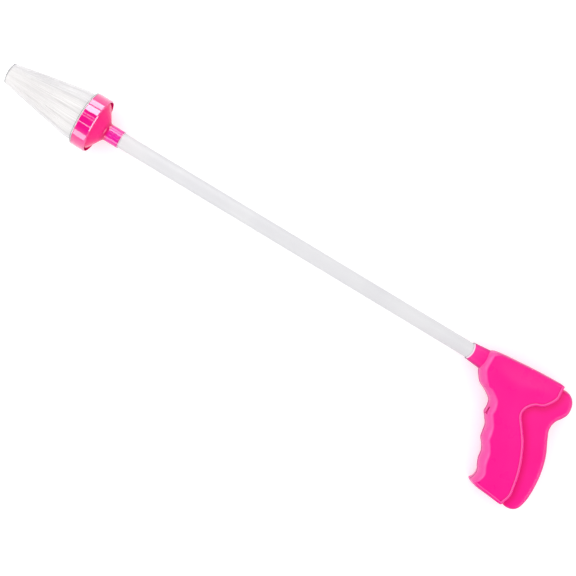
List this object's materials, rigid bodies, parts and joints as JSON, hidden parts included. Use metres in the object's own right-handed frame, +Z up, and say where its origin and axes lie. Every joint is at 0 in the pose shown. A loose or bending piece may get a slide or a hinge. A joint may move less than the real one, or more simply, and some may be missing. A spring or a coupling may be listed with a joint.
{
  "type": "spider catcher",
  "caption": "Hand-held spider catcher: pistol grip with a squeeze lever, long tube, and a ringed head whose cone of clear bristles spreads and closes.",
  "frame": {"origin": "under the middle of the tool, on the surface that it lies on", "axes": "+X along the tool towards the bristles, +Y towards the bottom of the grip, +Z up out of the upper cheek of the grip"},
  "size_m": [0.6552, 0.1432, 0.0573],
  "materials": {
    "grip_pink": "satin hot pink moulding",
    "ring_pink": "polished hot pink moulding",
    "tube_white": "smooth white extrusion",
    "inner_white": "plain white moulding",
    "bristle_clear": "clear soft strands",
    "retainer_clear": "clear moulding",
    "fastener_steel": "zinc plated",
    "spring_steel": "drawn spring wire"
  },
  "bodies": {
    "body": {"grip_shell_upper": "grip_pink", "grip_shell_lower": "grip_pink", "shell_screw_01": "fastener_steel", "shell_screw_02": "fastener_steel", "shell_screw_03": "fastener_steel", "shell_screw_04": "fastener_steel", "lever_pivot_pin": "fastener_steel", "return_spring": "spring_steel", "reach_tube": "tube_white", "rod_guide_01": "inner_white", "rod_guide_02": "inner_white", "rod_guide_03": "inner_white", "head_funnel": "grip_pink", "head_ring": "ring_pink", "bristle_retainer": "retainer_clear"},
    "lever": {"squeeze_lever": "grip_pink"},
    "rod": {"push_rod": "inner_white", "rod_tail_cap": "inner_white", "plunger_hub": "inner_white", "hub_washer": "inner_white", "hub_screw": "fastener_steel"},
    "tuft_01": {"bristle_tuft_01": "bristle_clear", "backing_arm_01": "bristle_clear"},
    "tuft_02": {"bristle_tuft_02": "bristle_clear", "backing_arm_02": "bristle_clear"},
    "tuft_03": {"bristle_tuft_03": "bristle_clear", "backing_arm_03": "bristle_clear"},
    "tuft_04": {"bristle_tuft_04": "bristle_clear", "backing_arm_04": "bristle_clear"},
    "tuft_05": {"bristle_tuft_05": "bristle_clear", "backing_arm_05": "bristle_clear"},
    "tuft_06": {"bristle_tuft_06": "bristle_clear", "backing_arm_06": "bristle_clear"},
    "tuft_07": {"bristle_tuft_07": "bristle_clear", "backing_arm_07": "bristle_clear"},
    "tuft_08": {"bristle_tuft_08": "bristle_clear", "backing_arm_08": "bristle_clear"},
    "tuft_09": {"bristle_tuft_09": "bristle_clear", "backing_arm_09": "bristle_clear"},
    "tuft_10": {"bristle_tuft_10": "bristle_clear", "backing_arm_10": "bristle_clear"},
    "tuft_11": {"bristle_tuft_11": "bristle_clear", "backing_arm_11": "bristle_clear"},
    "tuft_12": {"bristle_tuft_12": "bristle_clear", "backing_arm_12": "bristle_clear"}
  },
  "joints": [
    {"name": "lever_squeeze", "type": "hinge", "parent": "body", "child": "lever", "pos_m": [-0.29992, 0.0569, 0.0162], "axis": [-0.0234, 0, 0.9997], "range_deg": [0, 5.6], "stiffness_Nm_per_rad": 3.6, "springref_deg": -5.5},
    {"name": "rod_slide", "type": "slide", "parent": "body", "child": "rod", "axis": [0.9997, 0, 0.0234], "range_m": [0, 0.00978], "deforming": ["return_spring"]},
    {"name": "tuft_01_tip", "type": "hinge", "parent": "body", "child": "tuft_01", "pos_m": [0.23798, -0.01887, 0.03529], "axis": [-0.0226, -0.2588, 0.9657], "range_deg": [0, 30]},
    {"name": "tuft_02_tip", "type": "hinge", "parent": "body", "child": "tuft_02", "pos_m": [0.23772, -0.02536, 0.04653], "axis": [-0.0166, -0.7071, 0.7069], "range_deg": [0, 30]},
    {"name": "tuft_03_tip", "type": "hinge", "parent": "body", "child": "tuft_03", "pos_m": [0.23757, -0.03661, 0.05302], "axis": [-0.0061, -0.9659, 0.2587], "range_deg": [0, 30]},
    {"name": "tuft_04_tip", "type": "hinge", "parent": "body", "child": "tuft_04", "pos_m": [0.23757, -0.04959, 0.05302], "axis": [0.0061, -0.9659, -0.2587], "range_deg": [0, 30]},
    {"name": "tuft_05_tip", "type": "hinge", "parent": "body", "child": "tuft_05", "pos_m": [0.23772, -0.06084, 0.04653], "axis": [0.0166, -0.7071, -0.7069], "range_deg": [0, 30]},
    {"name": "tuft_06_tip", "type": "hinge", "parent": "body", "child": "tuft_06", "pos_m": [0.23798, -0.06733, 0.03529], "axis": [0.0226, -0.2588, -0.9657], "range_deg": [0, 30]},
    {"name": "tuft_07_tip", "type": "hinge", "parent": "body", "child": "tuft_07", "pos_m": [0.23828, -0.06733, 0.02231], "axis": [0.0226, 0.2588, -0.9657], "range_deg": [0, 30]},
    {"name": "tuft_08_tip", "type": "hinge", "parent": "body", "child": "tuft_08", "pos_m": [0.23855, -0.06084, 0.01107], "axis": [0.0166, 0.7071, -0.7069], "range_deg": [0, 30]},
    {"name": "tuft_09_tip", "type": "hinge", "parent": "body", "child": "tuft_09", "pos_m": [0.2387, -0.04959, 0.00458], "axis": [0.0061, 0.9659, -0.2587], "range_deg": [0, 30]},
    {"name": "tuft_10_tip", "type": "hinge", "parent": "body", "child": "tuft_10", "pos_m": [0.2387, -0.03661, 0.00458], "axis": [-0.0061, 0.9659, 0.2587], "range_deg": [0, 30]},
    {"name": "tuft_11_tip", "type": "hinge", "parent": "body", "child": "tuft_11", "pos_m": [0.23855, -0.02536, 0.01107], "axis": [-0.0166, 0.7071, 0.7069], "range_deg": [0, 30]},
    {"name": "tuft_12_tip", "type": "hinge", "parent": "body", "child": "tuft_12", "pos_m": [0.23828, -0.01887, 0.02231], "axis": [-0.0226, 0.2588, 0.9657], "range_deg": [0, 30]}
  ],
  "couplings": [
    {"joint": "rod_slide", "follows": "lever_squeeze", "m_per_rad": 0.1},
    {"joint": "tuft_01_tip", "follows": "lever_squeeze", "ratio": 5.357},
    {"joint": "tuft_02_tip", "follows": "lever_squeeze", "ratio": 5.357},
    {"joint": "tuft_03_tip", "follows": "lever_squeeze", "ratio": 5.357},
    {"joint": "tuft_04_tip", "follows": "lever_squeeze", "ratio": 5.357},
    {"joint": "tuft_05_tip", "follows": "lever_squeeze", "ratio": 5.357},
    {"joint": "tuft_06_tip", "follows": "lever_squeeze", "ratio": 5.357},
    {"joint": "tuft_07_tip", "follows": "lever_squeeze", "ratio": 5.357},
    {"joint": "tuft_08_tip", "follows": "lever_squeeze", "ratio": 5.357},
    {"joint": "tuft_09_tip", "follows": "lever_squeeze", "ratio": 5.357},
    {"joint": "tuft_10_tip", "follows": "lever_squeeze", "ratio": 5.357},
    {"joint": "tuft_11_tip", "follows": "lever_squeeze", "ratio": 5.357},
    {"joint": "tuft_12_tip", "follows": "lever_squeeze", "ratio": 5.357}
  ]
}
